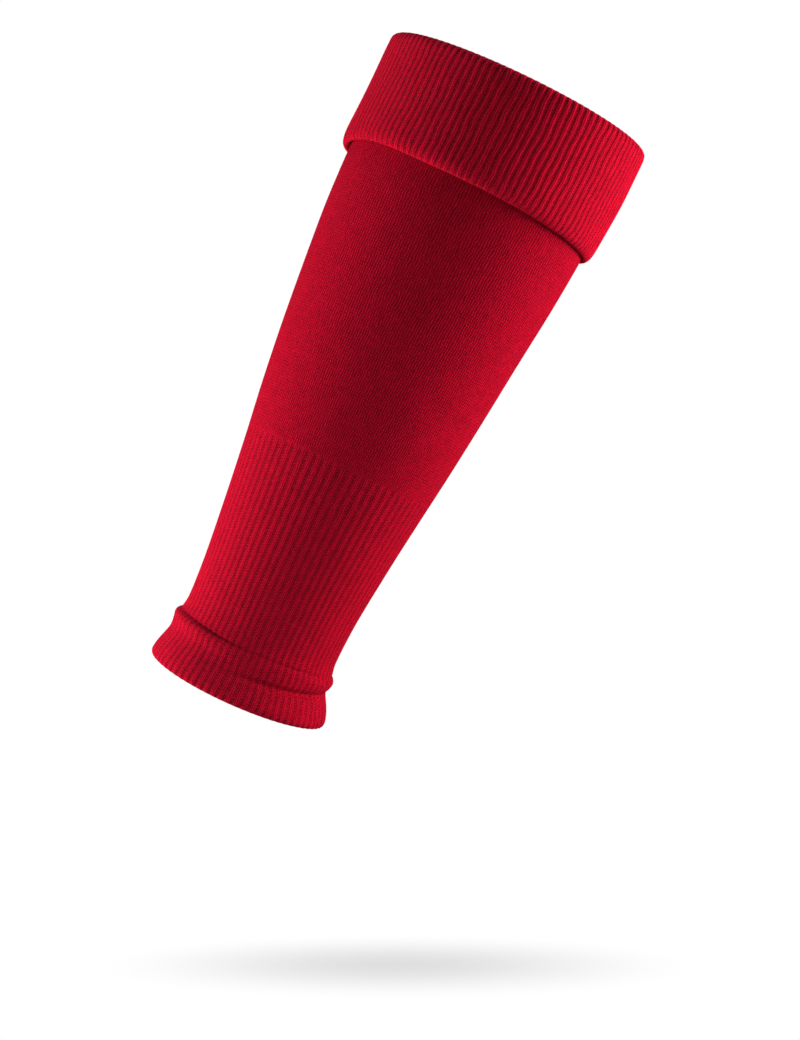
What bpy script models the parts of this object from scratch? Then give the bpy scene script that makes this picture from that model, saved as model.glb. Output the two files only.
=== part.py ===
"""Footless football sock: a red knitted leg sleeve, filled out as when worn and tilted.

Four knitted stretches, each a closed wall of its own: the turned-over ribbed cuff, the plain
upper leg, the ribbed lower leg and the creased, flaring ankle cuff. The origin is on the leg's
axis at the middle of the cuff, where the calf holds the sock up. All lengths are in millimetres.
"""
import math
from typing import NamedTuple

import bmesh
import bpy
import numpy as np
from mathutils import Matrix, Vector

MM = 0.001
COLLECTION = "football_sock"

# The whole leg
TILT = math.radians(25.6)        # the leg's axis leans from upright towards +X
DEPTH_SHARE = 0.85               # a section's depth, front to back, as a share of its width
SEAM = 0.3                       # between one stretch and the next
PLAIN_WALL = 1.5                 # plain knit
RIBBED_WALL = 1.9                # ribbed knit of the leg, measured at a rib's crest
RIB_START = -156.2               # the straight line round the leg where the ribs begin
ANKLE_CREASE = -242.6            # the crease above the ankle cuff
CREASE_START = -239.8            # where the leg's end starts to draw in to the crease
CREASE_DEPTH = 0.5

# Ribs
CUFF_RIBS = 112                  # every second one stands a little lower
CUFF_RELIEF = 0.9
LOW_RIB_DROP = 0.2
LEG_RIBS = 68
LEG_RELIEF = 0.7
POINTS_PER_CUFF_RIB = 2
POINTS_PER_LEG_RIB = 3
PLAIN_POINTS = 72
CUFF_INSIDE_POINTS = CUFF_RIBS // 2
LEG_INSIDE_POINTS = LEG_RIBS

# Turned-over cuff
CUFF_INNER_START = 13.0          # lower end of the cuff's inner layer, on the leg's top edge
FOLD_SPRING = 23.2               # where the top fold starts to turn over
FOLD_TOP = 26.8
BAND_OUT = 4.8                   # the band's rib crests stand this far out from the leg
BAND_WALL = 3.0                  # a doubled welt, measured at a rib's crest
EDGE_SPRING = -21.2              # where the band's lower edge starts to curl in
EDGE_BOTTOM = -26.4
EDGE_GAP = 0.45                  # between the curled edge and the leg
FOLD_INSIDE_ARC = (145.0, 110.0)  # plain inner part of the top fold, degrees from outwards
FOLD_RIBBED_ARC = (75.0, 0.0)
EDGE_ARC = (0.0, -120.0)
BAND_COURSES = (8.0, -8.0)
CUFF_INSIDE = (
    # height, outward: up behind the band, under the fold and round the inner layer
    (-22.2, EDGE_GAP),
    (-19.5, 1.2),
    (-13.0, BAND_OUT - BAND_WALL),
    (20.2, BAND_OUT - BAND_WALL),
    (24.2, 0.9),
    (21.2, 0.0),
    (CUFF_INNER_START, 0.0),
    (CUFF_INNER_START, -PLAIN_WALL),
    (FOLD_SPRING, -PLAIN_WALL),
)


class Section(NamedTuple):
    """One section of the leg: its outer surface, and how far the courses of knit dip there."""

    height: float
    half_width: float
    lean: float          # the section's centre, towards the right of the front view
    front_dip: float     # the front is this much lower than the sides, and the back higher
    side_dip: float      # the two sides are this much lower than front and back
    right_rise: float    # the right side is this much higher, and the left lower


SECTIONS = (
    Section(40.0, 58.1, 0.6, 0.0, 0.0, 0.0),
    Section(0.0, 58.0, 0.4, 0.0, 0.0, 0.0),
    Section(-27.0, 57.7, -0.3, 0.0, 1.4, 0.0),
    Section(-53.2, 56.1, -0.8, 0.0, 0.6, 0.0),
    Section(-81.9, 53.2, -1.1, 0.0, 0.0, 0.0),
    Section(-110.5, 50.3, -1.1, 0.0, 0.0, 0.0),
    Section(-139.2, 46.9, -0.9, 0.0, 0.0, 0.0),
    Section(-156.2, 44.5, -0.7, 0.0, 0.0, 0.0),
    Section(-182.2, 41.1, -0.6, 0.2, 0.0, 0.0),
    Section(-210.9, 37.8, -0.4, 1.0, 0.0, 0.0),
    Section(-225.2, 36.5, -0.2, 1.9, 0.0, 0.0),
    Section(-242.6, 36.1, 0.2, 3.1, 0.0, 0.0),
    Section(-252.0, 36.1, 0.5, 3.7, 0.0, 0.3),
    Section(-266.4, 36.1, 1.5, 4.6, 0.0, 1.0),
)


class Course(NamedTuple):
    """One ring of a wall: its height, and how far it stands out from the leg's outer surface."""

    height: float
    outward: float
    points: int
    relief: float = 0.0      # share of the ribs' relief


ANKLE_OUTSIDE = (
    # height, outward: crease, roll, valley of the wrinkle, flare, rounded hem
    (ANKLE_CREASE - SEAM, -0.3),
    (-244.0, 1.5),
    (-246.0, 2.7),
    (-248.4, 2.5),
    (-250.6, 1.9),
    (-252.8, 2.3),
    (-257.0, 3.8),
    (-261.6, 5.4),
    (-264.8, 5.9),
    (-266.4, 5.0),
)
ANKLE_INSIDE = (
    (-266.2, 3.8),
    (-261.2, 3.3),
    (-256.2, 1.6),
    (-250.6, -0.9),
    (-246.4, 0.5),
    (ANKLE_CREASE - SEAM, -2.1),
)


class Wrinkle(NamedTuple):
    """A stretch of the ankle cuff's lower valley that is pushed in deeper."""

    angle: float         # degrees round the leg: 0 is the right side, -90 the front
    spread: float
    depth: float


WRINKLE_HEIGHT = -250.6
WRINKLE_REACH = 2.6
WRINKLES = (
    Wrinkle(-38.0, 42.0, 0.9),
    Wrinkle(150.0, 38.0, 0.8),
)


def section_at(height):
    """The leg's section at a height, between the two nearest rows of the table."""
    heights = [row.height for row in reversed(SECTIONS)]
    columns = zip(*reversed(SECTIONS))
    return Section(*(float(np.interp(height, heights, column)) for column in columns))


def angle_table(steps=720):
    """Shares of the way round a section, and the angles where they fall on its ellipse."""
    angles = np.linspace(0.0, 2.0 * math.pi, steps + 1)
    speed = np.hypot(np.sin(angles), DEPTH_SHARE * np.cos(angles))
    length = np.concatenate([[0.0], np.cumsum((speed[1:] + speed[:-1]) / 2.0)])
    return length / length[-1], angles


ROUND_SHARES, ROUND_ANGLES = angle_table()


def place(turn, height, outward):
    """The point at a share of the way round the leg, in millimetres along the upright leg."""
    row = section_at(height)
    angle = float(np.interp(turn, ROUND_SHARES, ROUND_ANGLES))
    right, back = math.cos(angle), math.sin(angle)
    dip = row.front_dip * back - row.side_dip * right * right + row.right_rise * right
    return Vector((
        row.lean + (row.half_width + outward) * right,
        (row.half_width * DEPTH_SHARE + outward) * back,
        height + dip,
    ))


def cuff_rib(turn):
    """How far below the crests the cuff's surface lies, as a share of the relief."""
    phase = turn * CUFF_RIBS
    crest = max(0.0, math.cos(2.0 * math.pi * phase))
    low = LOW_RIB_DROP / CUFF_RELIEF if round(phase) % 2 else 0.0
    return 1.0 - crest * (1.0 - low)


def leg_rib(turn):
    """The same for the leg's ribs, which are narrow ridges with flat valleys between."""
    return 1.0 - max(0.0, math.cos(2.0 * math.pi * turn * LEG_RIBS))


def wrinkle_depth(turn, height):
    """How far the lower valley of the ankle cuff is pushed in at a place."""
    angle = math.degrees(float(np.interp(turn, ROUND_SHARES, ROUND_ANGLES)))
    near = max(0.0, 1.0 - ((height - WRINKLE_HEIGHT) / WRINKLE_REACH) ** 2)
    depth = 0.0
    for wrinkle in WRINKLES:
        apart = (angle - wrinkle.angle + 180.0) % 360.0 - 180.0
        depth += wrinkle.depth * math.exp(-((apart / wrinkle.spread) ** 2))
    return near * depth


def arc(centre, radii, start, end, steps, points, relief=0.0):
    """Courses along an elliptical arc of a wall's profile, angles in degrees from outwards."""
    for step in range(steps + 1):
        angle = math.radians(start + (end - start) * step / steps)
        height = centre[0] + radii[0] * math.sin(angle)
        yield Course(height, centre[1] + radii[1] * math.cos(angle), points, relief)


def wall(name, courses, rib=None, relief=0.0, push=None):
    """A closed wall through rings, from the first course round to the last and back."""
    mesh = bmesh.new()
    rings = []
    for level, course in enumerate(courses):
        made = bmesh.ops.create_circle(
            mesh, segments=course.points, radius=1.0, matrix=Matrix.Translation((0, 0, level))
        )
        rings.append(made["verts"])
    edges = [list({edge for point in ring for edge in point.link_edges}) for ring in rings]
    for index in range(len(rings)):
        bmesh.ops.bridge_loops(mesh, edges=edges[index - 1] + edges[index])
    for course, ring in zip(courses, rings):
        for point in ring:
            turn = math.atan2(point.co.y, point.co.x) / (2.0 * math.pi) % 1.0
            outward = course.outward
            if course.relief:
                outward -= course.relief * relief * rib(turn)
            if push and course.relief:
                outward -= push(turn, course.height)
            point.co = place(turn, course.height, outward) * MM
    bmesh.ops.recalc_face_normals(mesh, faces=mesh.faces)
    if mesh.calc_volume(signed=True) < 0.0:
        bmesh.ops.reverse_faces(mesh, faces=mesh.faces)
    data = bpy.data.meshes.new(name)
    mesh.to_mesh(data)
    mesh.free()
    data.shade_smooth()
    return bpy.data.objects.new(name, data)


def turnover_cuff():
    """The ribbed welt, folded over outwards: an upside-down U in section, its lower edge curled."""
    ribbed, plain = CUFF_RIBS * POINTS_PER_CUFF_RIB, CUFF_INSIDE_POINTS
    fold = (FOLD_SPRING, (BAND_OUT - PLAIN_WALL) / 2.0)
    fold_radii = (FOLD_TOP - FOLD_SPRING, (BAND_OUT + PLAIN_WALL) / 2.0)
    edge = (EDGE_SPRING, (BAND_OUT + EDGE_GAP) / 2.0)
    edge_radii = (EDGE_SPRING - EDGE_BOTTOM, (BAND_OUT - EDGE_GAP) / 2.0)
    courses = [
        *arc(fold, fold_radii, *FOLD_INSIDE_ARC, 1, plain),
        *arc(fold, fold_radii, *FOLD_RIBBED_ARC, 3, ribbed, 1.0),
        *(Course(height, BAND_OUT, ribbed, 1.0) for height in BAND_COURSES),
        *arc(edge, edge_radii, *EDGE_ARC, 4, ribbed, 1.0),
        *(Course(height, outward, plain) for height, outward in CUFF_INSIDE),
    ]
    return wall("turnover_cuff", courses, cuff_rib, CUFF_RELIEF)


def upper_leg():
    """The plain stretch, from inside the turnover down to the line where the ribs begin."""
    top, bottom = CUFF_INNER_START - SEAM, RIB_START + SEAM
    between = [row.height for row in SECTIONS if bottom < row.height < top]
    every_second_up = between[::-2]
    outside = [Course(height, 0.0, PLAIN_POINTS) for height in (top, *between, bottom)]
    inside = [Course(height, -PLAIN_WALL, PLAIN_POINTS) for height in (bottom, *every_second_up, top)]
    return wall("upper_leg", outside + inside)


def lower_leg():
    """The ribbed stretch, down to the crease, where its end is drawn in."""
    ribbed, plain = LEG_RIBS * POINTS_PER_LEG_RIB, LEG_INSIDE_POINTS
    between = [row.height for row in SECTIONS if ANKLE_CREASE < row.height < RIB_START]
    outside = [Course(height, 0.0, ribbed, 1.0) for height in (RIB_START, *between, CREASE_START)]
    outside.append(Course(ANKLE_CREASE, -CREASE_DEPTH, ribbed, 0.6))
    up = (ANKLE_CREASE, *reversed(between), RIB_START)
    inside = [Course(height, -RIBBED_WALL, plain) for height in up]
    return wall("lower_leg", outside + inside, leg_rib, LEG_RELIEF)


def ankle_cuff():
    """The ribbed end below the crease: a soft roll, a wrinkled valley and a flaring hem."""
    ribbed, plain = LEG_RIBS * POINTS_PER_LEG_RIB, LEG_INSIDE_POINTS
    courses = [Course(height, outward, ribbed, 1.0) for height, outward in ANKLE_OUTSIDE]
    courses += [Course(height, outward, plain) for height, outward in ANKLE_INSIDE]
    return wall("ankle_cuff", courses, leg_rib, LEG_RELIEF, wrinkle_depth)


def knit_material(name, colour, roughness):
    """Matte dyed yarn."""
    material = bpy.data.materials.new(name)
    material.use_nodes = True
    shader = material.node_tree.nodes["Principled BSDF"]
    shader.inputs["Base Color"].default_value = (*colour, 1.0)
    shader.inputs["Roughness"].default_value = roughness
    shader.inputs["Metallic"].default_value = 0.0
    return material


def build():
    """The sock in its own collection, tilted by the empty that all its pieces hang from."""
    for old in list(bpy.data.objects):
        bpy.data.objects.remove(old)
    collection = bpy.data.collections.new(COLLECTION)
    bpy.context.scene.collection.children.link(collection)
    axis = bpy.data.objects.new("leg_axis", None)
    axis.rotation_euler = (0.0, TILT, 0.0)
    collection.objects.link(axis)
    pieces = (
        (turnover_cuff(), (0.50, 0.008, 0.025), 0.9),
        (upper_leg(), (0.48, 0.006, 0.022), 0.85),
        (lower_leg(), (0.49, 0.007, 0.024), 0.9),
        (ankle_cuff(), (0.50, 0.008, 0.025), 0.9),
    )
    for piece, colour, roughness in pieces:
        piece.parent = axis
        piece.data.materials.append(knit_material(piece.name + "_knit", colour, roughness))
        collection.objects.link(piece)


build()
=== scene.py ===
"""Looks of a footless football sock: red knit in ribs and plain stitches, on a plain pale stage.

Each knitted stretch is one closed wall of cloth: a sheet of small cells that is wrapped into a
tube, ribs, curl and wrinkles included, with its stitches in the material. Heights and offsets are
in millimetres along the upright sock, whose origin is at the middle of the turned-over cuff.
"""

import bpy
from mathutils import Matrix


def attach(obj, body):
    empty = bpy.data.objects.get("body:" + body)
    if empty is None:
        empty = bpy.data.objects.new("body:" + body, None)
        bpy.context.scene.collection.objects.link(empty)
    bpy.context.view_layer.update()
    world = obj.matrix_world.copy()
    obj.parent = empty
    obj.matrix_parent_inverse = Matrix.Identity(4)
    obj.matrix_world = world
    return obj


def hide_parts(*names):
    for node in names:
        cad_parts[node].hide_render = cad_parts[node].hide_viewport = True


bl_info = {
    "name": "Footless Football Sock",
    "version": (1, 0, 0),
    "blender": (4, 5, 0),
    "location": "3D View > Sidebar > Football Sock",
    "description": "Builds a knitted football sock sleeve and its stage",
    "category": "Add Mesh",
}

import math

import bmesh
import bpy
import numpy as np
from mathutils import Vector

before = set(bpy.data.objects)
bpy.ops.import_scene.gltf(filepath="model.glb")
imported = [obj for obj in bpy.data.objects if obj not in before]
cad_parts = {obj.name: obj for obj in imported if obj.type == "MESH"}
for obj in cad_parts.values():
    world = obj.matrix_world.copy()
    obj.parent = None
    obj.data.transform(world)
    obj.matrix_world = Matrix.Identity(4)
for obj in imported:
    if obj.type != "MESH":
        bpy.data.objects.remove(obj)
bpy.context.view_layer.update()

MM = 0.001
TAU = 2.0 * math.pi

# The sock's leg, at the same sizes as the solids
TILT = math.radians(25.6)
DEPTH_SHARE = 0.85
PLAIN_WALL = 1.5
RIBBED_WALL = 1.9
CUFF_OUT = 4.8                   # how far the cuff's band stands out from the leg
RIB_START = -156.2
CREASE = -242.6
HEM = -266.4
SECTIONS = np.array((
    # height, half_width, lean, front_dip, side_dip, right_rise
    (40.0, 58.1, 0.6, 0.0, 0.0, 0.0),
    (0.0, 58.0, 0.4, 0.0, 0.0, 0.0),
    (-27.0, 57.7, -0.3, 0.0, 1.4, 0.0),
    (-53.2, 56.1, -0.8, 0.0, 0.6, 0.0),
    (-81.9, 53.2, -1.1, 0.0, 0.0, 0.0),
    (-110.5, 50.3, -1.1, 0.0, 0.0, 0.0),
    (-139.2, 46.9, -0.9, 0.0, 0.0, 0.0),
    (-156.2, 44.5, -0.7, 0.0, 0.0, 0.0),
    (-182.2, 41.1, -0.6, 0.2, 0.0, 0.0),
    (-210.9, 37.8, -0.4, 1.0, 0.0, 0.0),
    (-225.2, 36.5, -0.2, 1.9, 0.0, 0.0),
    (-242.6, 36.1, 0.2, 3.1, 0.0, 0.0),
    (-252.0, 36.1, 0.5, 3.7, 0.0, 0.3),
    (-266.4, 36.1, 1.5, 4.6, 0.0, 1.0),
))
SECTION_ROUNDING = 9.0           # how far the corners between two sections are rounded
SECTION_SAMPLES = 7              # heights that are averaged for it
ANGLE_STEPS = 1440

# Walls, each a closed path of courses: height, outward, share of the ribs' relief
CUFF_FRONT = (
    (25.9, 0.4, 0.3),
    (26.8, 1.7, 0.7),
    (26.7, 3.3, 1.0),
    (25.6, 4.5, 1.0),
    (23.0, CUFF_OUT, 1.0),
    (8.0, CUFF_OUT, 1.0),
    (-8.0, CUFF_OUT, 1.0),
    (-20.0, CUFF_OUT, 1.0),
    (-23.4, 4.4, 1.0),
    (-25.4, 3.6, 1.0),
    (-26.3, 2.6, 1.0),
    (-26.0, 1.5, 0.8),
    (-24.6, 0.8, 0.4),
)
CUFF_BACK = (
    (-24.6, 0.8, 0.4),
    (-22.2, 0.6, 0.0),
    (-19.0, 1.3, 0.0),
    (-13.0, 1.8, 0.0),
    (20.2, 1.8, 0.0),
    (23.6, 0.9, 0.0),
    (21.2, 0.0, 0.0),
    (13.2, 0.0, 0.0),
    (12.2, -0.7, 0.0),
    (13.0, -1.5, 0.2),
    (19.0, -1.6, 0.3),
    (23.6, -1.2, 0.3),
    (25.9, 0.4, 0.3),
)
UPPER_FRONT = (
    (12.6, 0.0, 0.0),
    (-53.2, 0.0, 0.0),
    (-110.5, 0.0, 0.0),
    (RIB_START - 0.5, 0.0, 0.0),
)
UPPER_BACK = (
    (RIB_START - 0.5, 0.0, 0.0),
    (RIB_START - 0.5, -0.6, 0.0),
    (RIB_START - 0.3, -PLAIN_WALL, 0.0),
    (-110.5, -PLAIN_WALL, 0.0),
    (-53.2, -PLAIN_WALL, 0.0),
    (12.3, -PLAIN_WALL, 0.0),
    (12.6, 0.0, 0.0),
)
LOWER_FRONT = (
    (RIB_START - 0.5, 0.0, 0.0),
    (RIB_START - 1.2, 0.0, 0.6),
    (RIB_START - 2.8, 0.0, 1.0),
    (-182.2, 0.0, 1.0),
    (-225.2, 0.0, 1.0),
    (-237.6, 0.0, 1.0),
    (-240.4, 0.3, 1.0),
    (CREASE - 0.1, 0.8, 1.0),
)
LOWER_BACK = (
    (CREASE - 0.1, 0.8, 1.0),
    (CREASE - 0.1, -1.2, 0.3),
    (CREASE + 1.0, -RIBBED_WALL - 0.2, 0.0),
    (-225.2, -RIBBED_WALL, 0.0),
    (-182.2, -RIBBED_WALL, 0.0),
    (RIB_START - 0.5, -RIBBED_WALL, 0.0),
    (RIB_START - 0.5, 0.0, 0.0),
)
ANKLE_FRONT = (
    (CREASE - 0.2, 0.8, 1.0),
    (-243.8, 1.3, 1.0),
    (-245.0, 2.1, 1.0),
    (-246.6, 2.7, 1.0),
    (-248.6, 2.4, 1.0),
    (-250.6, 1.9, 1.0),
    (-252.8, 2.3, 1.0),
    (-257.0, 3.8, 1.0),
    (-261.6, 5.4, 1.0),
    (-264.6, 6.0, 1.0),
    (-266.1, 5.6, 1.0),
    (HEM, 4.8, 0.9),
)
ANKLE_BACK = (
    (HEM, 4.8, 0.9),
    (-266.0, 3.9, 0.5),
    (-264.6, 3.5, 0.2),
    (-261.2, 3.3, 0.0),
    (-256.2, 1.6, 0.0),
    (-250.6, -0.8, 0.0),
    (-246.4, 0.5, 0.0),
    (-243.6, -1.7, 0.0),
    (CREASE - 0.2, -1.9, 0.4),
    (CREASE - 0.2, 0.8, 1.0),
)

# Steps along the outer and the inner half of each wall's path
CUFF_STEPS = (66, 20)
UPPER_STEPS = (90, 24)
LOWER_STEPS = (84, 20)
ANKLE_STEPS = (70, 24)
ROW_STEPS = 24                   # finer steps between two rows, before they are evened out

# Cells and columns of stitches for each rib, and cells for each column of the plain knit
CUFF_RIB_CELLS, CUFF_RIB_WALES = 8, 3
LEG_RIB_CELLS, LEG_RIB_WALES = 10, 4
PLAIN_WALE_CELLS = 2

# Ribs: where the crest's flat ends and where its foot lies, as shares of half a rib
CUFF_CREST = (0.30, 0.80)
LEG_CREST = (0.34, 0.80)
CREST_ROUNDING = 0.18
SECOND_RIB_DROP = 0.15           # how much lower every second rib of the cuff is
FOLD_DEEPENING = 1.2             # how much deeper the ribs are at the cuff's fold
HEM_DEEPENING = 1.6              # and at the hem

# Slow waves of the ribs sideways, and their size in each stretch, as a share of a turn
RIB_WAVES = (
    # turns round the leg, quarter waves in each mm along it, phase, share
    (5.0, 0.090, 0.4, 0.34),
    (9.0, -0.150, 2.1, 0.28),
    (14.0, 0.230, 4.0, 0.22),
    (23.0, -0.310, 1.2, 0.16),
)
CUFF_SWAY = 0.0014
PLAIN_SWAY = 0.0010
LEG_SWAY = 0.0008

# The cuff's slow forms: its band's bulges, its draw inwards low at the right, and its edges' rise
BULGE = 0.25
BULGE_TURNS = 3.0
BULGE_PHASE = 0.7
DRAWN_IN = 0.9
LOW_EDGE_FRONT_RISE = 1.2
LOW_EDGE_LEFT_RISE = 2.4
LEFT_RISE_MIDDLE = 215.0
LEFT_RISE_SPREAD = 28.0
HIGH_EDGE_SIDE_RISE = 0.7
HIGH_EDGE_DROP = 0.25

# Heights over which a form comes in: where it starts and where it is full
BAND_ZONE = (26.0, -26.0)
FOLD_ZONE = (22.0, 26.0)
DRAWN_IN_ZONE = (8.0, -24.0)
LOW_EDGE_ZONE = (0.0, -22.0)
HIGH_EDGE_ZONE = (8.0, 22.0)
HEM_ZONE = (HEM + 4.0, HEM)

WRINKLES = (
    # angle round the leg, spread, depth (below 0 bulges), height, slant in mm a degree, width
    (180.0, 40.0, -0.6, -245.2, 0.0, 2.0),
    (182.0, 30.0, -0.6, -250.6, 0.0, 2.2),
    (0.0, 36.0, 0.6, -253.4, 0.0, 3.6),
    (-80.0, 42.0, 1.2, -246.6, 0.0, 2.6),
    (-124.0, 32.0, 1.1, -243.4, -0.012, 0.9),
    (-20.0, 40.0, 0.5, -243.2, 0.0, 0.9),
    (120.0, 70.0, 1.0, -243.3, 0.0, 0.9),
    (-62.0, 36.0, 2.0, -253.3, 0.032, 1.3),
    (-20.0, 24.0, 0.8, -252.6, 0.030, 1.5),
    (128.0, 30.0, 1.2, -251.0, 0.010, 1.6),
)

MERGE_DISTANCE = 1e-6
SMOOTH_BELOW = math.radians(55.0)

# Yarn of each stretch
YARNS = {
    # material: tone that scales its colours, strength of the painted shade in the rib valleys
    "cuff_yarn": (0.69, 0.48),
    "plain_yarn": (0.475, 0.0),
    "rib_yarn": (0.545, 0.34),
    "ankle_yarn": (0.54, 0.32),
}

# The knit's noises: scale for each metre, or for each stitch of the strands, and detail
WOBBLE_NOISE = (420.0, 2.0)
STRAND_NOISE = (1.0, 2.0)
FIBRE_NOISE = (3500.0, 3.0)
PATCH_NOISE = (120.0, 3.0)
# noise that breaks the painted shade in the rib valleys into specks
VALLEY_SHADE_SPECK_NOISE = (1400.0, 1.0)

# The knit's pattern, in shares of a stitch
STITCH_WOBBLE = 1.1
STITCH_SLANT = 0.55
COLUMN_SHARPNESS = 1.5
LOOP_RELIEF = (0.62, 0.34)       # factor and floor
PURL_RELIEF = (0.5, 0.4)
FIBRE_RELIEF = 0.22
STRAND_LEAN = 2.2
STRAND_STRETCH = 0.6
PATCH_SHARE = 0.4
CHANCE_SHARE = 0.3
UNEVENNESS = (0.7, -0.54)        # factor and floor
# how closely the painted glints keep to the stitch tops
GLINT_SHARPNESS = 3.0
# levels and shares of the painted shade's specks in the rib valleys
VALLEY_SHADE_SPECK_LEVELS = (0.42, 0.62)
VALLEY_SHADE_SPECK_SHARES = (0.6, 1.4)
YARN_SPECULAR = 0.02
SHEEN_ROUGHNESS = 0.45
SHEEN_TINT = (1.0, 0.10, 0.16, 1.0)

MIX_FACTOR, MIX_FIRST, MIX_SECOND, MIX_RESULT = 0, 6, 7, 2      # a colour Mix node's sockets

# Camera
PICTURE = (800.0, 1040.0)
CUFF_MIDDLE_PIXEL = (491.8, 150.3)
CAMERA_DISTANCE = 1.03
FOCAL_PIXELS = 2300.0
SENSOR = 36.0
CLIP_END = 200.0

# Floor and room: only the camera sees their white, with a painted shadow on the floor under the
# sock, and the sock sees their grey
WHITE = (1.0, 1.0, 1.0, 1.0)
FLOOR_REACH = 40.0
FLOOR_GREY = (0.35, 0.35, 0.35, 1.0)
FLOOR_DROP = 0.3635              # the floor lies this far below the cuff's middle
# the painted shadow on the floor: its middle, reach, outer edge and darkest level
PAINTED_SHADOW_PLACE = (-0.0425, -0.0065, -FLOOR_DROP)
PAINTED_SHADOW_REACH = (0.134, 0.074, 1.0)
PAINTED_SHADOW_END = 1.05
PAINTED_SHADOW_LEVEL = 0.738
ROOM_LIGHT = 0.10
ROOM_WHITE = 1.02

SOCK_MIDDLE = (-0.045, 0.0, -0.12)
PLAIN_LIGHT = (1.0, 1.0, 1.0)
RED_LIGHT = (1.0, 0.32, 0.50)    # keeps the red pure where the sock's sides are bright
LIGHTS = (
    # name, power, size, place, aim, colour
    ("left_box", 8.6, (0.45, 0.45), (-0.577, -0.017, -0.235), (-0.09, 0.0, -0.16), RED_LIGHT),
    ("right_box", 13.3, (0.45, 0.45), (0.70, 0.01, -0.062), (0.0, 0.0, -0.08), RED_LIGHT),
    ("top_box", 3.5, (0.5, 0.35), (-0.02, 0.0, 0.75), SOCK_MIDDLE, PLAIN_LIGHT),
    ("front_box", 0.25, (0.5, 0.9), (-0.04, -1.2, 0.1), SOCK_MIDDLE, PLAIN_LIGHT),
    ("low_box", 0.46, (0.2, 0.1), (-0.33, -0.38, -0.31), (-0.115, 0.0, -0.235), PLAIN_LIGHT),
    ("back_box", 0.7, (0.5, 0.9), (-0.04, 1.2, 0.1), SOCK_MIDDLE, PLAIN_LIGHT),
)


def section(height):
    """The leg's columns at any height, with the corners between the rows of the table rounded."""
    table = SECTIONS[::-1]
    near = np.linspace(-SECTION_ROUNDING, SECTION_ROUNDING, SECTION_SAMPLES)
    around = height + near[:, None]
    return [np.interp(around, table[:, 0], column).mean(axis=0) for column in table[:, 1:].T]


def angle_table():
    """Shares of the way round a section, and the angles where they fall on its ellipse."""
    angles = np.linspace(0.0, TAU, ANGLE_STEPS + 1)
    speed = np.hypot(np.sin(angles), DEPTH_SHARE * np.cos(angles))
    length = np.concatenate([[0.0], np.cumsum((speed[1:] + speed[:-1]) / 2.0)])
    return length / length[-1], angles


ROUND_SHARES, ROUND_ANGLES = angle_table()


def angle_of(turn):
    """Angle round the leg of a share of a turn: 0 is the right side, -90 degrees the front."""
    return np.interp(turn % 1.0, ROUND_SHARES, ROUND_ANGLES)


def place(turn, height, outward):
    """World points, in metres, at shares of a turn, heights and distances out from the leg."""
    half_width, lean, front_dip, side_dip, right_rise = section(height)
    angle = angle_of(turn)
    right, back = np.cos(angle), np.sin(angle)
    across = lean + (half_width + outward) * right
    along = height + front_dip * back - side_dip * right**2 + right_rise * right
    return MM * np.stack([
        across * math.cos(TILT) + along * math.sin(TILT),
        (half_width * DEPTH_SHARE + outward) * back,
        along * math.cos(TILT) - across * math.sin(TILT),
    ], axis=1)


def run_lengths(path):
    """How far each row of a path lies along it from its start."""
    steps = np.linalg.norm(np.diff(path[:, :2], axis=0), axis=1)
    return np.concatenate([[0.0], np.cumsum(steps)])


def courses(rows, count):
    """A smooth run through the rows of a path, as count steps of even length."""
    rows = np.array(rows)
    ends = np.vstack([2 * rows[0] - rows[1], rows, 2 * rows[-1] - rows[-2]])
    fine = []
    for before, start, end, after in zip(ends, ends[1:], ends[2:], ends[3:]):
        t = np.linspace(0.0, 1.0, ROW_STEPS, endpoint=False)[:, None]
        reach = np.linalg.norm(end - start)
        leave = (end - before) * reach / max(np.linalg.norm(end - before), reach)
        arrive = (after - start) * reach / max(np.linalg.norm(after - start), reach)
        fine.append(
            start * (2 * t**3 - 3 * t**2 + 1) + end * (3 * t**2 - 2 * t**3)
            + leave * (t**3 - 2 * t**2 + t) + arrive * (t**3 - t**2)
        )
    fine = np.vstack([*fine, rows[-1:]])
    length = run_lengths(fine)
    steps = np.linspace(0.0, length[-1], count + 1)
    return np.stack([np.interp(steps, length, column) for column in fine.T], axis=1)


def smooth_step(start, full, value):
    """0 before start, 1 past full, and a smooth change between."""
    t = np.clip((value - start) / (full - start), 0.0, 1.0)
    return t * t * (3.0 - 2.0 * t)


def rib_crest(phase, flat, foot):
    """1 on a rib's rounded crest and 0 in the valley; flat and foot are shares of half a rib."""
    off_crest = 2.0 * np.abs(phase - np.round(phase))
    return (1.0 - smooth_step(flat, foot, off_crest)) * (1.0 - CREST_ROUNDING * off_crest**2)


def rib_sway(turn, height, size):
    """How far ribs wander sideways, as a share of a turn that is size at the most."""
    total = 0.0
    for turns, waves, phase, share in RIB_WAVES:
        total = total + share * np.sin(TAU * turns * turn + waves * height * TAU / 4.0 + phase)
    return size * total


def cuff_lift(turn, height):
    """How far the cuff's two edges rise along the leg, in millimetres."""
    degrees = np.degrees(angle_of(turn))
    right, front = np.cos(np.radians(degrees)), -np.sin(np.radians(degrees))
    off_left = (degrees - LEFT_RISE_MIDDLE) / LEFT_RISE_SPREAD
    low = LOW_EDGE_FRONT_RISE * np.maximum(front, 0.0) + LOW_EDGE_LEFT_RISE * np.exp(-(off_left**2))
    high = HIGH_EDGE_SIDE_RISE * right**2 - HIGH_EDGE_DROP
    return low * smooth_step(*LOW_EDGE_ZONE, height) + high * smooth_step(*HIGH_EDGE_ZONE, height)


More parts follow.
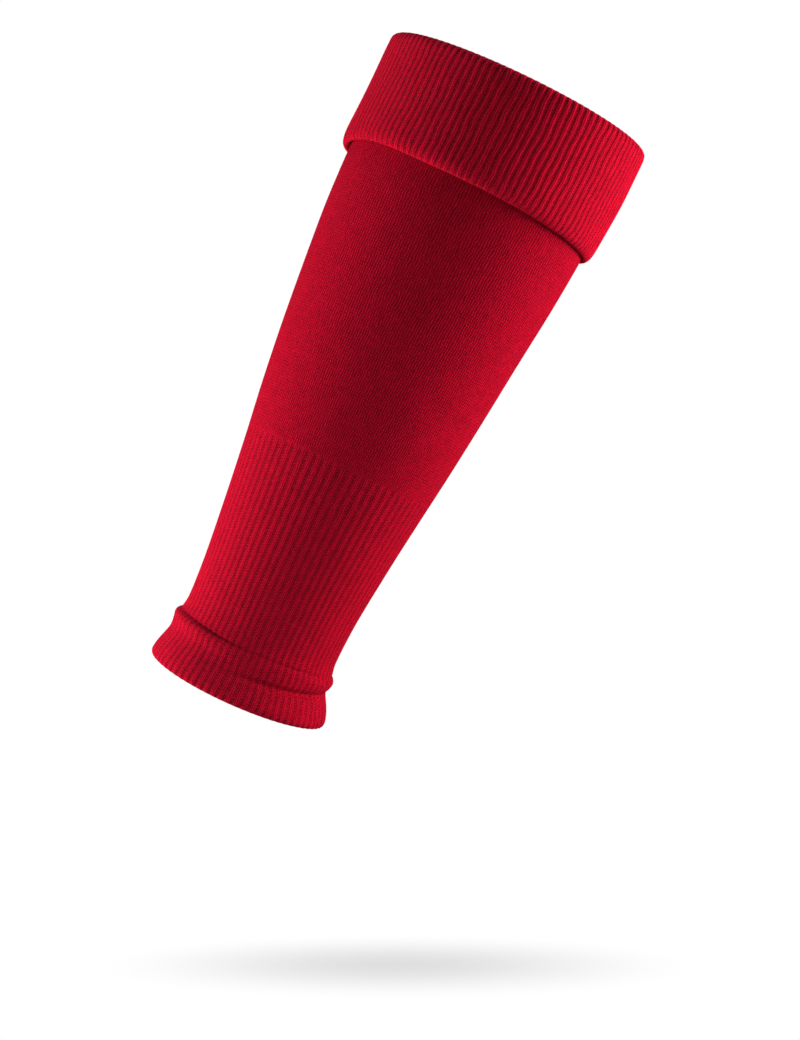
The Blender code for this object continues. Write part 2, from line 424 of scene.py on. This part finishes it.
def wrinkle_depth(turn, height):
    """How deep the ankle cuff's wrinkles push in, in millimetres."""
    degrees = np.degrees(angle_of(turn))
    depth = 0.0
    for middle, spread, deepest, level, slant, width in WRINKLES:
        apart = (degrees - middle + 180.0) % 360.0 - 180.0
        off = (height - level - slant * apart) / width
        depth = depth + deepest * np.exp(-((apart / spread) ** 2) - off**2)
    return depth


def cuff_shape(looks):
    """The shape of the turned-over cuff, in its band, its ribs and its two edges."""
    ribs, relief = looks.cuff_ribs, looks.cuff_relief / MM

    def shape(turn, height, share):
        phase = turn * ribs
        crest = rib_crest(phase, *CUFF_CREST)
        crest = crest * (1.0 - np.where(np.round(phase) % 2 == 1, SECOND_RIB_DROP, 0.0))
        down = smooth_step(*BAND_ZONE, height)
        bulge = BULGE * np.sin(TAU * BULGE_TURNS * turn + BULGE_PHASE) * np.sin(math.pi * down)
        right = np.maximum(np.cos(angle_of(turn)), 0.0)
        drawn_in = DRAWN_IN * smooth_step(*DRAWN_IN_ZONE, height) * right**2
        deepening = 1.0 + FOLD_DEEPENING * smooth_step(*FOLD_ZONE, height)
        move = share * (bulge - drawn_in - deepening * relief * (1.0 - crest))
        sway = rib_sway(turn, height, CUFF_SWAY) * np.clip(share, 0.0, 1.0)
        return crest * share + (1.0 - share), move, sway, cuff_lift(turn, height)

    return shape


def plain_shape(turn, height, share):
    """The shape of the plain knit, whose columns only sway."""
    return np.ones_like(turn), 0.0, rib_sway(turn, height, PLAIN_SWAY), 0.0


def leg_rib_shape(looks, push=None):
    """The shape of the leg's ribs, which run on from the lower leg into the ankle cuff."""
    ribs, relief = looks.leg_ribs, looks.leg_relief / MM

    def shape(turn, height, share):
        crest = rib_crest(turn * ribs, *LEG_CREST)
        deepening = 1.0 + HEM_DEEPENING * smooth_step(*HEM_ZONE, height)
        move = -share * deepening * relief * (1.0 - crest)
        if push:
            move = move - push(turn, height)
        return crest * share + (1.0 - share), move, rib_sway(turn, height, LEG_SWAY), 0.0

    return shape


def knit_wall(name, halves, steps, around, wales, course, shape):
    """A closed wall of cloth: a sheet of cells wrapped into a tube, joined at all its edges.

    halves are the outer and inner halves of its path and steps their counts of steps, around the
    cells round the tube, wales the columns of stitches round it and course the height of a
    stitch. shape gives the crest share and the moves outward, sideways and up for turns, heights
    and relief shares.
    """
    front, back = (courses(rows, count) for rows, count in zip(halves, steps))
    path = np.vstack([front[:-1], back])
    run = run_lengths(path)
    last = len(path) - 1
    sheet = bmesh.new()
    bmesh.ops.create_grid(sheet, x_segments=around, y_segments=last, size=1.0)
    mesh = bpy.data.meshes.new(name)
    sheet.to_mesh(mesh)
    sheet.free()

    flat = np.zeros(len(mesh.vertices) * 3)
    mesh.vertices.foreach_get("co", flat)
    turn, level = (
        (column - column.min()) / np.ptp(column) for column in flat.reshape(-1, 3)[:, :2].T
    )
    level = np.round(level * last).astype(int)
    height, outward, relief = path[level].T
    crest, move, sway, lift = shape(turn, height, relief)
    points = place(turn + sway, height + lift, outward + move)
    mesh.vertices.foreach_set("co", points.astype(np.float32).ravel())
    crests = mesh.attributes.new("crest", "FLOAT", "POINT")
    crests.data.foreach_set("value", crest.astype(np.float32))

    corner = np.zeros(len(mesh.loops), dtype=np.int32)
    mesh.loops.foreach_get("vertex_index", corner)
    stitches = np.stack([turn * wales, run[level] / course], axis=1)[corner]
    stitch_map = mesh.uv_layers.new(name="stitches")
    stitch_map.data.foreach_set("uv", stitches.astype(np.float32).ravel())

    wall = bmesh.new()
    wall.from_mesh(mesh)
    bmesh.ops.remove_doubles(wall, verts=wall.verts, dist=MERGE_DISTANCE)
    bmesh.ops.recalc_face_normals(wall, faces=wall.faces)
    if wall.calc_volume(signed=True) < 0.0:
        bmesh.ops.reverse_faces(wall, faces=wall.faces)
    wall.to_mesh(mesh)
    wall.free()
    mesh.shade_smooth()
    mesh.set_sharp_from_angle(angle=SMOOTH_BELOW)
    piece = bpy.data.objects.new(name, mesh)
    bpy.context.scene.collection.objects.link(piece)
    return piece


class Nodes:
    """Short calls for the nodes of one material."""

    def __init__(self, name):
        self.material = bpy.data.materials.new(name)
        self.material.use_nodes = True
        self.tree = self.material.node_tree
        self.shader = self.tree.nodes["Principled BSDF"]

    def add(self, kind, **settings):
        node = self.tree.nodes.new(kind)
        for key, value in settings.items():
            setattr(node, key, value)
        return node

    def feed(self, node, values):
        """Gives a node's inputs, by name or number, their values or links."""
        for key, value in values.items():
            if isinstance(value, bpy.types.NodeSocket):
                self.tree.links.new(value, node.inputs[key])
            else:
                node.inputs[key].default_value = value

    def math(self, operation, *values):
        node = self.add("ShaderNodeMath", operation=operation)
        self.feed(node, dict(enumerate(values)))
        return node.outputs[0]

    def noise(self, vector, scale, detail):
        node = self.add("ShaderNodeTexNoise")
        self.feed(node, {"Vector": vector, "Scale": scale, "Detail": detail})
        return node.outputs["Fac"]

    def mix(self, share, first, second):
        node = self.add("ShaderNodeMix", data_type="RGBA")
        self.feed(node, {MIX_FACTOR: share, MIX_FIRST: first, MIX_SECOND: second})
        return node.outputs[MIX_RESULT]


def knit_material(name, looks):
    """Matte yarn in V stitches, laid by the stitch map, with painted shade between the stitches and
    in the rib valleys, and painted glints on the stitch tops.
    """
    tone, painted_valley_shade = YARNS[name]
    n = Nodes(name)
    yarn_colour, tone_and_painted_shade_colour, painted_glint_colour, painted_valley_shade_colour = (
        (*(tone * level for level in colour), 1.0)
        for colour in (looks.yarn_colour, looks.tone_and_painted_shade_colour, looks.painted_glint_colour, looks.painted_valley_shade_colour)
    )
    stitch_map = n.add("ShaderNodeUVMap", uv_map="stitches").outputs["UV"]
    here = n.add("ShaderNodeTexCoord").outputs["Object"]
    split = n.add("ShaderNodeSeparateXYZ")
    n.feed(split, {0: stitch_map})
    wobble = n.math("SUBTRACT", n.noise(here, *WOBBLE_NOISE), 0.5)
    wobble = n.math("MULTIPLY", wobble, STITCH_WOBBLE)
    wale = n.math("ADD", split.outputs["X"], wobble)
    course = n.math("ADD", split.outputs["Y"], wobble)
    crest = n.add("ShaderNodeAttribute", attribute_name="crest").outputs["Fac"]
    valley = n.math("SUBTRACT", 1.0, crest)

    side = n.math("MULTIPLY", n.math("PINGPONG", wale, 0.5), 2.0)
    column = n.math("SINE", n.math("MULTIPLY", side, math.pi / 2.0))
    column = n.math("POWER", column, COLUMN_SHARPNESS)
    slant = n.math("FRACT", n.math("ADD", course, n.math("MULTIPLY", side, STITCH_SLANT)))
    loop = n.math("SINE", n.math("MULTIPLY", slant, math.pi))
    stitch = n.math("MULTIPLY", column, n.math("MULTIPLY_ADD", loop, *LOOP_RELIEF))
    if painted_valley_shade:
        purl_row = n.math("SINE", n.math("MULTIPLY", n.math("FRACT", course), math.pi))
        purl = n.math("MULTIPLY", purl_row, n.math("MULTIPLY_ADD", column, *PURL_RELIEF))
        stitch = n.math("MULTIPLY_ADD", valley, purl, n.math("MULTIPLY", stitch, crest))
    cell = n.add("ShaderNodeCombineXYZ")
    n.feed(cell, {"X": n.math("FLOOR", wale), "Y": n.math("FLOOR", course)})
    chance = n.add("ShaderNodeTexWhiteNoise", noise_dimensions="2D")
    n.feed(chance, {"Vector": cell.outputs[0]})
    lay = n.add("ShaderNodeCombineXYZ")
    n.feed(lay, {
        "X": n.math("MULTIPLY_ADD", wale, STRAND_LEAN, course),
        "Y": n.math("MULTIPLY", course, STRAND_STRETCH),
    })
    strands = n.noise(lay.outputs[0], *STRAND_NOISE)
    fibres = n.noise(here, *FIBRE_NOISE)
    patches = n.noise(here, *PATCH_NOISE)

    uneven = n.math("MULTIPLY_ADD", patches, PATCH_SHARE, strands)
    uneven = n.math("MULTIPLY_ADD", chance.outputs["Value"], CHANCE_SHARE, uneven)
    # painted shade between the stitches: the colour darkens where the stitch is low, and also
    # varies with random tone
    lit = n.math("ADD", stitch, n.math("MULTIPLY_ADD", uneven, *UNEVENNESS))
    colour = n.mix(lit, tone_and_painted_shade_colour, yarn_colour)
    # painted highlight: a pale glint colour mixed onto the highest parts of the stitches, where
    # fibres would catch light
    painted_glint = n.math("MULTIPLY", fibres, looks.painted_glint_share)
    painted_glint = n.math("MULTIPLY", n.math("POWER", stitch, GLINT_SHARPNESS), painted_glint)
    colour = n.mix(painted_glint, colour, painted_glint_colour)
    if painted_valley_shade:
        # painted shade in the rib valleys, broken into dark specks
        valley_shade_specks = n.add("ShaderNodeMapRange")
        n.feed(valley_shade_specks, {
            "Value": n.noise(here, *VALLEY_SHADE_SPECK_NOISE),
            "From Min": VALLEY_SHADE_SPECK_LEVELS[0],
            "From Max": VALLEY_SHADE_SPECK_LEVELS[1],
            "To Min": VALLEY_SHADE_SPECK_SHARES[0] * painted_valley_shade,
            "To Max": VALLEY_SHADE_SPECK_SHARES[1] * painted_valley_shade,
        })
        colour = n.mix(n.math("MULTIPLY", valley, valley_shade_specks.outputs[0]), colour, painted_valley_shade_colour)
    bump = n.add("ShaderNodeBump")
    n.feed(bump, {
        "Height": n.math("MULTIPLY_ADD", fibres, FIBRE_RELIEF, stitch),
        "Strength": looks.stitch_strength,
        "Distance": looks.stitch_depth,
    })
    n.feed(n.shader, {
        "Base Color": colour,
        "Normal": bump.outputs["Normal"],
        "Roughness": looks.roughness,
        "Specular IOR Level": YARN_SPECULAR,
        "Sheen Weight": looks.sheen,
        "Sheen Roughness": SHEEN_ROUGHNESS,
        "Sheen Tint": SHEEN_TINT,
    })
    return n.material


def finish_piece(piece, node, material):
    """Gives a finished wall its material and body, and hides the solid part that it replaces."""
    piece.data.materials.append(material)
    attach(piece, "root")
    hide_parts(node)


class FootballSockLooks(bpy.types.PropertyGroup):
    """What a user would change about the sock's knit and colours."""

    cuff_ribs: bpy.props.IntProperty(
        name="Cuff ribs", description="Ribs round the turned-over cuff", default=112,
        min=20, max=160,
    )
    leg_ribs: bpy.props.IntProperty(
        name="Leg ribs", description="Ribs round the lower leg and ankle", default=68,
        min=20, max=120,
    )
    plain_wales: bpy.props.IntProperty(
        name="Plain wales", description="Columns of stitches round the upper leg", default=260,
        min=100, max=400,
    )
    course_height: bpy.props.FloatProperty(
        name="Course height", description="Height of one stitch", default=0.00122,
        unit="LENGTH", precision=5,
    )
    cuff_relief: bpy.props.FloatProperty(
        name="Cuff relief", description="Height of the cuff's ribs", default=0.00032,
        unit="LENGTH", precision=5,
    )
    leg_relief: bpy.props.FloatProperty(
        name="Leg relief", description="Height of the leg's ribs", default=0.00020,
        unit="LENGTH", precision=5,
    )
    stitch_depth: bpy.props.FloatProperty(
        name="Stitch depth", description="Depth of the stitches' relief", default=0.00011,
        unit="LENGTH", precision=5,
    )
    stitch_strength: bpy.props.FloatProperty(
        name="Stitch strength", description="How strongly the stitches show", default=0.8,
        subtype="FACTOR", min=0.0, max=1.0,
    )
    roughness: bpy.props.FloatProperty(
        name="Roughness", description="Roughness of the yarn", default=0.85,
        subtype="FACTOR", min=0.0, max=1.0,
    )
    sheen: bpy.props.FloatProperty(
        name="Sheen", description="Soft shine of the yarn's nap", default=0.03,
        subtype="FACTOR", min=0.0, max=1.0,
    )
    yarn_colour: bpy.props.FloatVectorProperty(
        name="Yarn", description="Colour of the yarn's raised strands",
        default=(0.88, 0.008, 0.056), subtype="COLOR", size=3, min=0.0, max=1.0,
    )
    # painted highlight: the glint colour put on the stitch tops
    painted_glint_colour: bpy.props.FloatVectorProperty(
        name="Stitch tips", description="Colour of the fibres that catch light on top of a stitch",
        default=(0.90, 0.12, 0.16), subtype="COLOR", size=3, min=0.0, max=1.0,
    )
    # how much of the painted glints on the stitch tops shows
    painted_glint_share: bpy.props.FloatProperty(
        name="Tip share", description="How much of the tips' colour shows", default=0.4,
        subtype="FACTOR", min=0.0, max=1.0,
    )
    # dark end of the yarn's random tone, and painted shade between the strands
    tone_and_painted_shade_colour: bpy.props.FloatVectorProperty(
        name="Between stitches", description="Colour between the strands",
        default=(0.25, 0.004, 0.018), subtype="COLOR", size=3, min=0.0, max=1.0,
    )
    # painted shade at the bottom of the rib valleys
    painted_valley_shade_colour: bpy.props.FloatVectorProperty(
        name="Rib valleys", description="Colour at the bottom of the rib valleys",
        default=(0.09, 0.011, 0.012), subtype="COLOR", size=3, min=0.0, max=1.0,
    )


class FOOTBALLSOCK_OT_turnover_cuff(bpy.types.Operator):
    """Knit the ribbed cuff, folded over outwards, with its curled lower edge"""

    bl_idname = "football_sock.turnover_cuff"
    bl_label = "Turned-over cuff"

    def execute(self, context):
        looks = context.scene.football_sock
        piece = knit_wall(
            "cuff_knit", (CUFF_FRONT, CUFF_BACK), CUFF_STEPS,
            looks.cuff_ribs * CUFF_RIB_CELLS, looks.cuff_ribs * CUFF_RIB_WALES,
            looks.course_height / MM, cuff_shape(looks),
        )
        material = knit_material("cuff_yarn", looks)
        finish_piece(piece, "turnover_cuff", material)
        return {"FINISHED"}


class FOOTBALLSOCK_OT_upper_leg(bpy.types.Operator):
    """Knit the plain upper leg"""

    bl_idname = "football_sock.upper_leg"
    bl_label = "Upper leg"

    def execute(self, context):
        looks = context.scene.football_sock
        piece = knit_wall(
            "upper_leg_knit", (UPPER_FRONT, UPPER_BACK), UPPER_STEPS,
            looks.plain_wales * PLAIN_WALE_CELLS, looks.plain_wales,
            looks.course_height / MM, plain_shape,
        )
        material = knit_material("plain_yarn", looks)
        finish_piece(piece, "upper_leg", material)
        return {"FINISHED"}


class FOOTBALLSOCK_OT_lower_leg(bpy.types.Operator):
    """Knit the ribbed lower leg"""

    bl_idname = "football_sock.lower_leg"
    bl_label = "Lower leg"

    def execute(self, context):
        looks = context.scene.football_sock
        piece = knit_wall(
            "lower_leg_knit", (LOWER_FRONT, LOWER_BACK), LOWER_STEPS,
            looks.leg_ribs * LEG_RIB_CELLS, looks.leg_ribs * LEG_RIB_WALES,
            looks.course_height / MM, leg_rib_shape(looks),
        )
        material = knit_material("rib_yarn", looks)
        finish_piece(piece, "lower_leg", material)
        return {"FINISHED"}


class FOOTBALLSOCK_OT_ankle_cuff(bpy.types.Operator):
    """Knit the creased and flaring end at the ankle"""

    bl_idname = "football_sock.ankle_cuff"
    bl_label = "Ankle cuff"

    def execute(self, context):
        looks = context.scene.football_sock
        piece = knit_wall(
            "ankle_knit", (ANKLE_FRONT, ANKLE_BACK), ANKLE_STEPS,
            looks.leg_ribs * LEG_RIB_CELLS, looks.leg_ribs * LEG_RIB_WALES,
            looks.course_height / MM, leg_rib_shape(looks, wrinkle_depth),
        )
        material = knit_material("ankle_yarn", looks)
        finish_piece(piece, "ankle_cuff", material)
        return {"FINISHED"}


def area_light(name, power, size, place_at, look_at, colour):
    """A soft box of light, turned towards a point."""
    data = bpy.data.lights.new(name, "AREA")
    data.shape = "RECTANGLE"
    data.size, data.size_y = size
    data.energy = power
    data.color = colour
    light = bpy.data.objects.new(name, data)
    light.location = place_at
    light.rotation_euler = (Vector(look_at) - Vector(place_at)).to_track_quat("-Z", "Y").to_euler()
    bpy.context.scene.collection.objects.link(light)


def white_for_camera(tree, shaded, camera_side):
    """A shader that only the camera sees in place of another."""
    ray = tree.nodes.new("ShaderNodeLightPath")
    mix = tree.nodes.new("ShaderNodeMixShader")
    tree.links.new(ray.outputs["Is Camera Ray"], mix.inputs[0])
    tree.links.new(shaded, mix.inputs[1])
    tree.links.new(camera_side, mix.inputs[2])
    return mix.outputs[0]


class FOOTBALLSOCK_OT_stage(bpy.types.Operator):
    """Set up the white floor with a painted shadow under the sock, the lights and the camera"""

    bl_idname = "football_sock.stage"
    bl_label = "Stage"

    def execute(self, context):
        self.add_floor()
        self.add_world(context.scene)
        for row in LIGHTS:
            area_light(*row)
        self.add_camera(context.scene)
        context.scene.view_settings.view_transform = "Standard"
        return {"FINISHED"}

    def add_floor(self):
        sheet = bmesh.new()
        bmesh.ops.create_grid(sheet, x_segments=1, y_segments=1, size=FLOOR_REACH)
        bmesh.ops.translate(sheet, verts=sheet.verts, vec=(0.0, 0.0, -FLOOR_DROP))
        mesh = bpy.data.meshes.new("floor")
        sheet.to_mesh(mesh)
        sheet.free()
        floor = bpy.data.objects.new("floor", mesh)
        bpy.context.scene.collection.objects.link(floor)
        n = Nodes("white_floor_painted_shadow")
        n.feed(n.shader, {"Base Color": FLOOR_GREY, "Roughness": 1.0, "Specular IOR Level": 0.0})
        where = n.add("ShaderNodeMapping", vector_type="TEXTURE")
        here = n.add("ShaderNodeTexCoord").outputs["Object"]
        n.feed(where, {"Vector": here, "Location": PAINTED_SHADOW_PLACE, "Scale": PAINTED_SHADOW_REACH})
        off = n.add("ShaderNodeVectorMath", operation="LENGTH")
        n.feed(off, {0: where.outputs[0]})
        # painted shadow: the white that the camera sees is dimmed in a soft ellipse under the sock
        painted_shadow = n.add("ShaderNodeMapRange", interpolation_type="SMOOTHSTEP")
        n.feed(painted_shadow, {"Value": off.outputs["Value"], "From Max": PAINTED_SHADOW_END, "To Min": PAINTED_SHADOW_LEVEL})
        white = n.add("ShaderNodeEmission")
        n.feed(white, {"Strength": painted_shadow.outputs[0]})
        surface = white_for_camera(n.tree, n.shader.outputs[0], white.outputs[0])
        n.feed(n.tree.nodes["Material Output"], {"Surface": surface})
        mesh.materials.append(n.material)

    def add_world(self, scene):
        world = bpy.data.worlds.new("white_room")
        scene.world = world
        world.use_nodes = True
        tree = world.node_tree
        dim = tree.nodes["Background"]
        white = tree.nodes.new("ShaderNodeBackground")
        for background, strength in ((dim, ROOM_LIGHT), (white, ROOM_WHITE)):
            background.inputs["Color"].default_value = WHITE
            background.inputs["Strength"].default_value = strength
        shader = white_for_camera(tree, dim.outputs[0], white.outputs[0])
        tree.links.new(shader, tree.nodes["World Output"].inputs["Surface"])

    def add_camera(self, scene):
        per_metre = FOCAL_PIXELS / CAMERA_DISTANCE
        data = bpy.data.cameras.new("camera")
        data.sensor_fit = "VERTICAL"
        data.sensor_height = SENSOR
        data.lens = FOCAL_PIXELS / PICTURE[1] * SENSOR
        data.clip_end = CLIP_END
        camera = bpy.data.objects.new("camera", data)
        camera.location = (
            (PICTURE[0] / 2.0 - CUFF_MIDDLE_PIXEL[0]) / per_metre,
            -CAMERA_DISTANCE,
            (CUFF_MIDDLE_PIXEL[1] - PICTURE[1] / 2.0) / per_metre,
        )
        camera.rotation_euler = (math.radians(90.0), 0.0, 0.0)
        scene.collection.objects.link(camera)
        scene.camera = camera


OPERATORS = (
    FOOTBALLSOCK_OT_turnover_cuff,
    FOOTBALLSOCK_OT_upper_leg,
    FOOTBALLSOCK_OT_lower_leg,
    FOOTBALLSOCK_OT_ankle_cuff,
    FOOTBALLSOCK_OT_stage,
)


class FOOTBALLSOCK_PT_panel(bpy.types.Panel):
    """The sock's looks, and a button for each of its pieces"""

    bl_label = "Football Sock"
    bl_idname = "FOOTBALLSOCK_PT_panel"
    bl_space_type = "VIEW_3D"
    bl_region_type = "UI"
    bl_category = "Football Sock"

    def draw(self, context):
        looks = context.scene.football_sock
        for name in looks.bl_rna.properties.keys():
            if name not in {"rna_type", "name"}:
                self.layout.prop(looks, name)
        for operator in OPERATORS:
            self.layout.operator(operator.bl_idname)


CLASSES = (FootballSockLooks, *OPERATORS, FOOTBALLSOCK_PT_panel)


def register():
    for entry in CLASSES:
        bpy.utils.register_class(entry)
    bpy.types.Scene.football_sock = bpy.props.PointerProperty(type=FootballSockLooks)


def unregister():
    del bpy.types.Scene.football_sock
    for entry in reversed(CLASSES):
        bpy.utils.unregister_class(entry)


def main():
    """Builds every piece and the stage."""
    register()
    for operator in OPERATORS:
        group, name = operator.bl_idname.split(".")
        getattr(getattr(bpy.ops, group), name)()
    bpy.context.view_layer.update()


if __name__ == "__main__":
    main()
